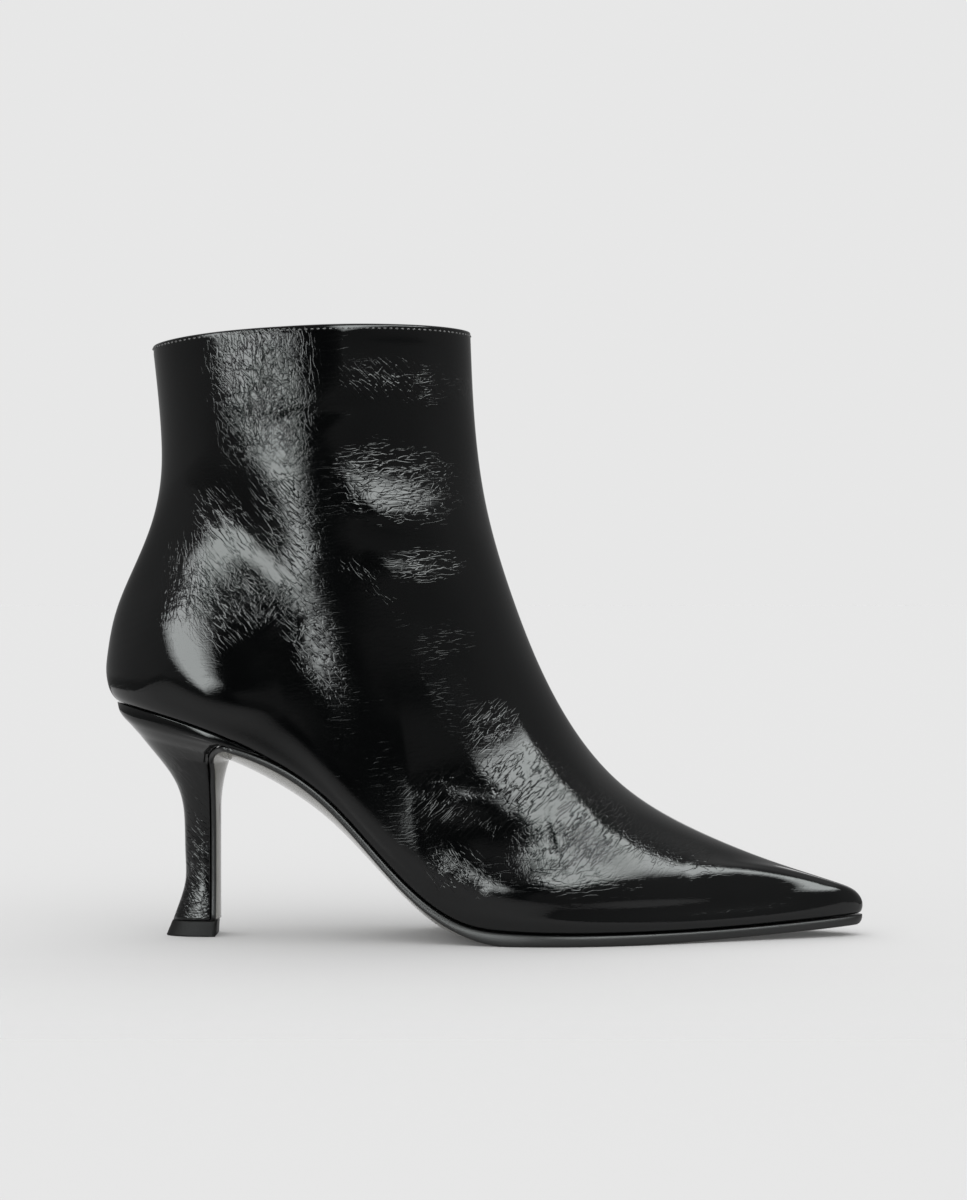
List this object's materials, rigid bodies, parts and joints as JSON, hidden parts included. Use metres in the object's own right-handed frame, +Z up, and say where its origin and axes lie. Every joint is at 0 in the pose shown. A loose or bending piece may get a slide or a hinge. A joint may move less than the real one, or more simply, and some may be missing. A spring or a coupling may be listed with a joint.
{
  "type": "heeled ankle boot",
  "caption": "Pointed ankle boot in glossy crinkled black leather, hollow upper open at the collar, thin crowned sole and slim curved heel.",
  "frame": {"origin": "on the floor, under the middle of the boot's box", "axes": "+X to the toe, +Y to the inner side of the foot, +Z up"},
  "size_m": [0.2518, 0.075, 0.2012],
  "materials": {
    "upper_leather": "crinkled patent gloss",
    "sole_leather": "painted gloss",
    "heel_leather": "crinkled patent gloss",
    "lift_rubber": "matt",
    "insole_leather": "satin"
  },
  "bodies": {
    "root": {"upper": "upper_leather", "outsole": "sole_leather", "heel": "heel_leather", "top_lift": "lift_rubber", "insole": "insole_leather"}
  },
  "joints": []
}
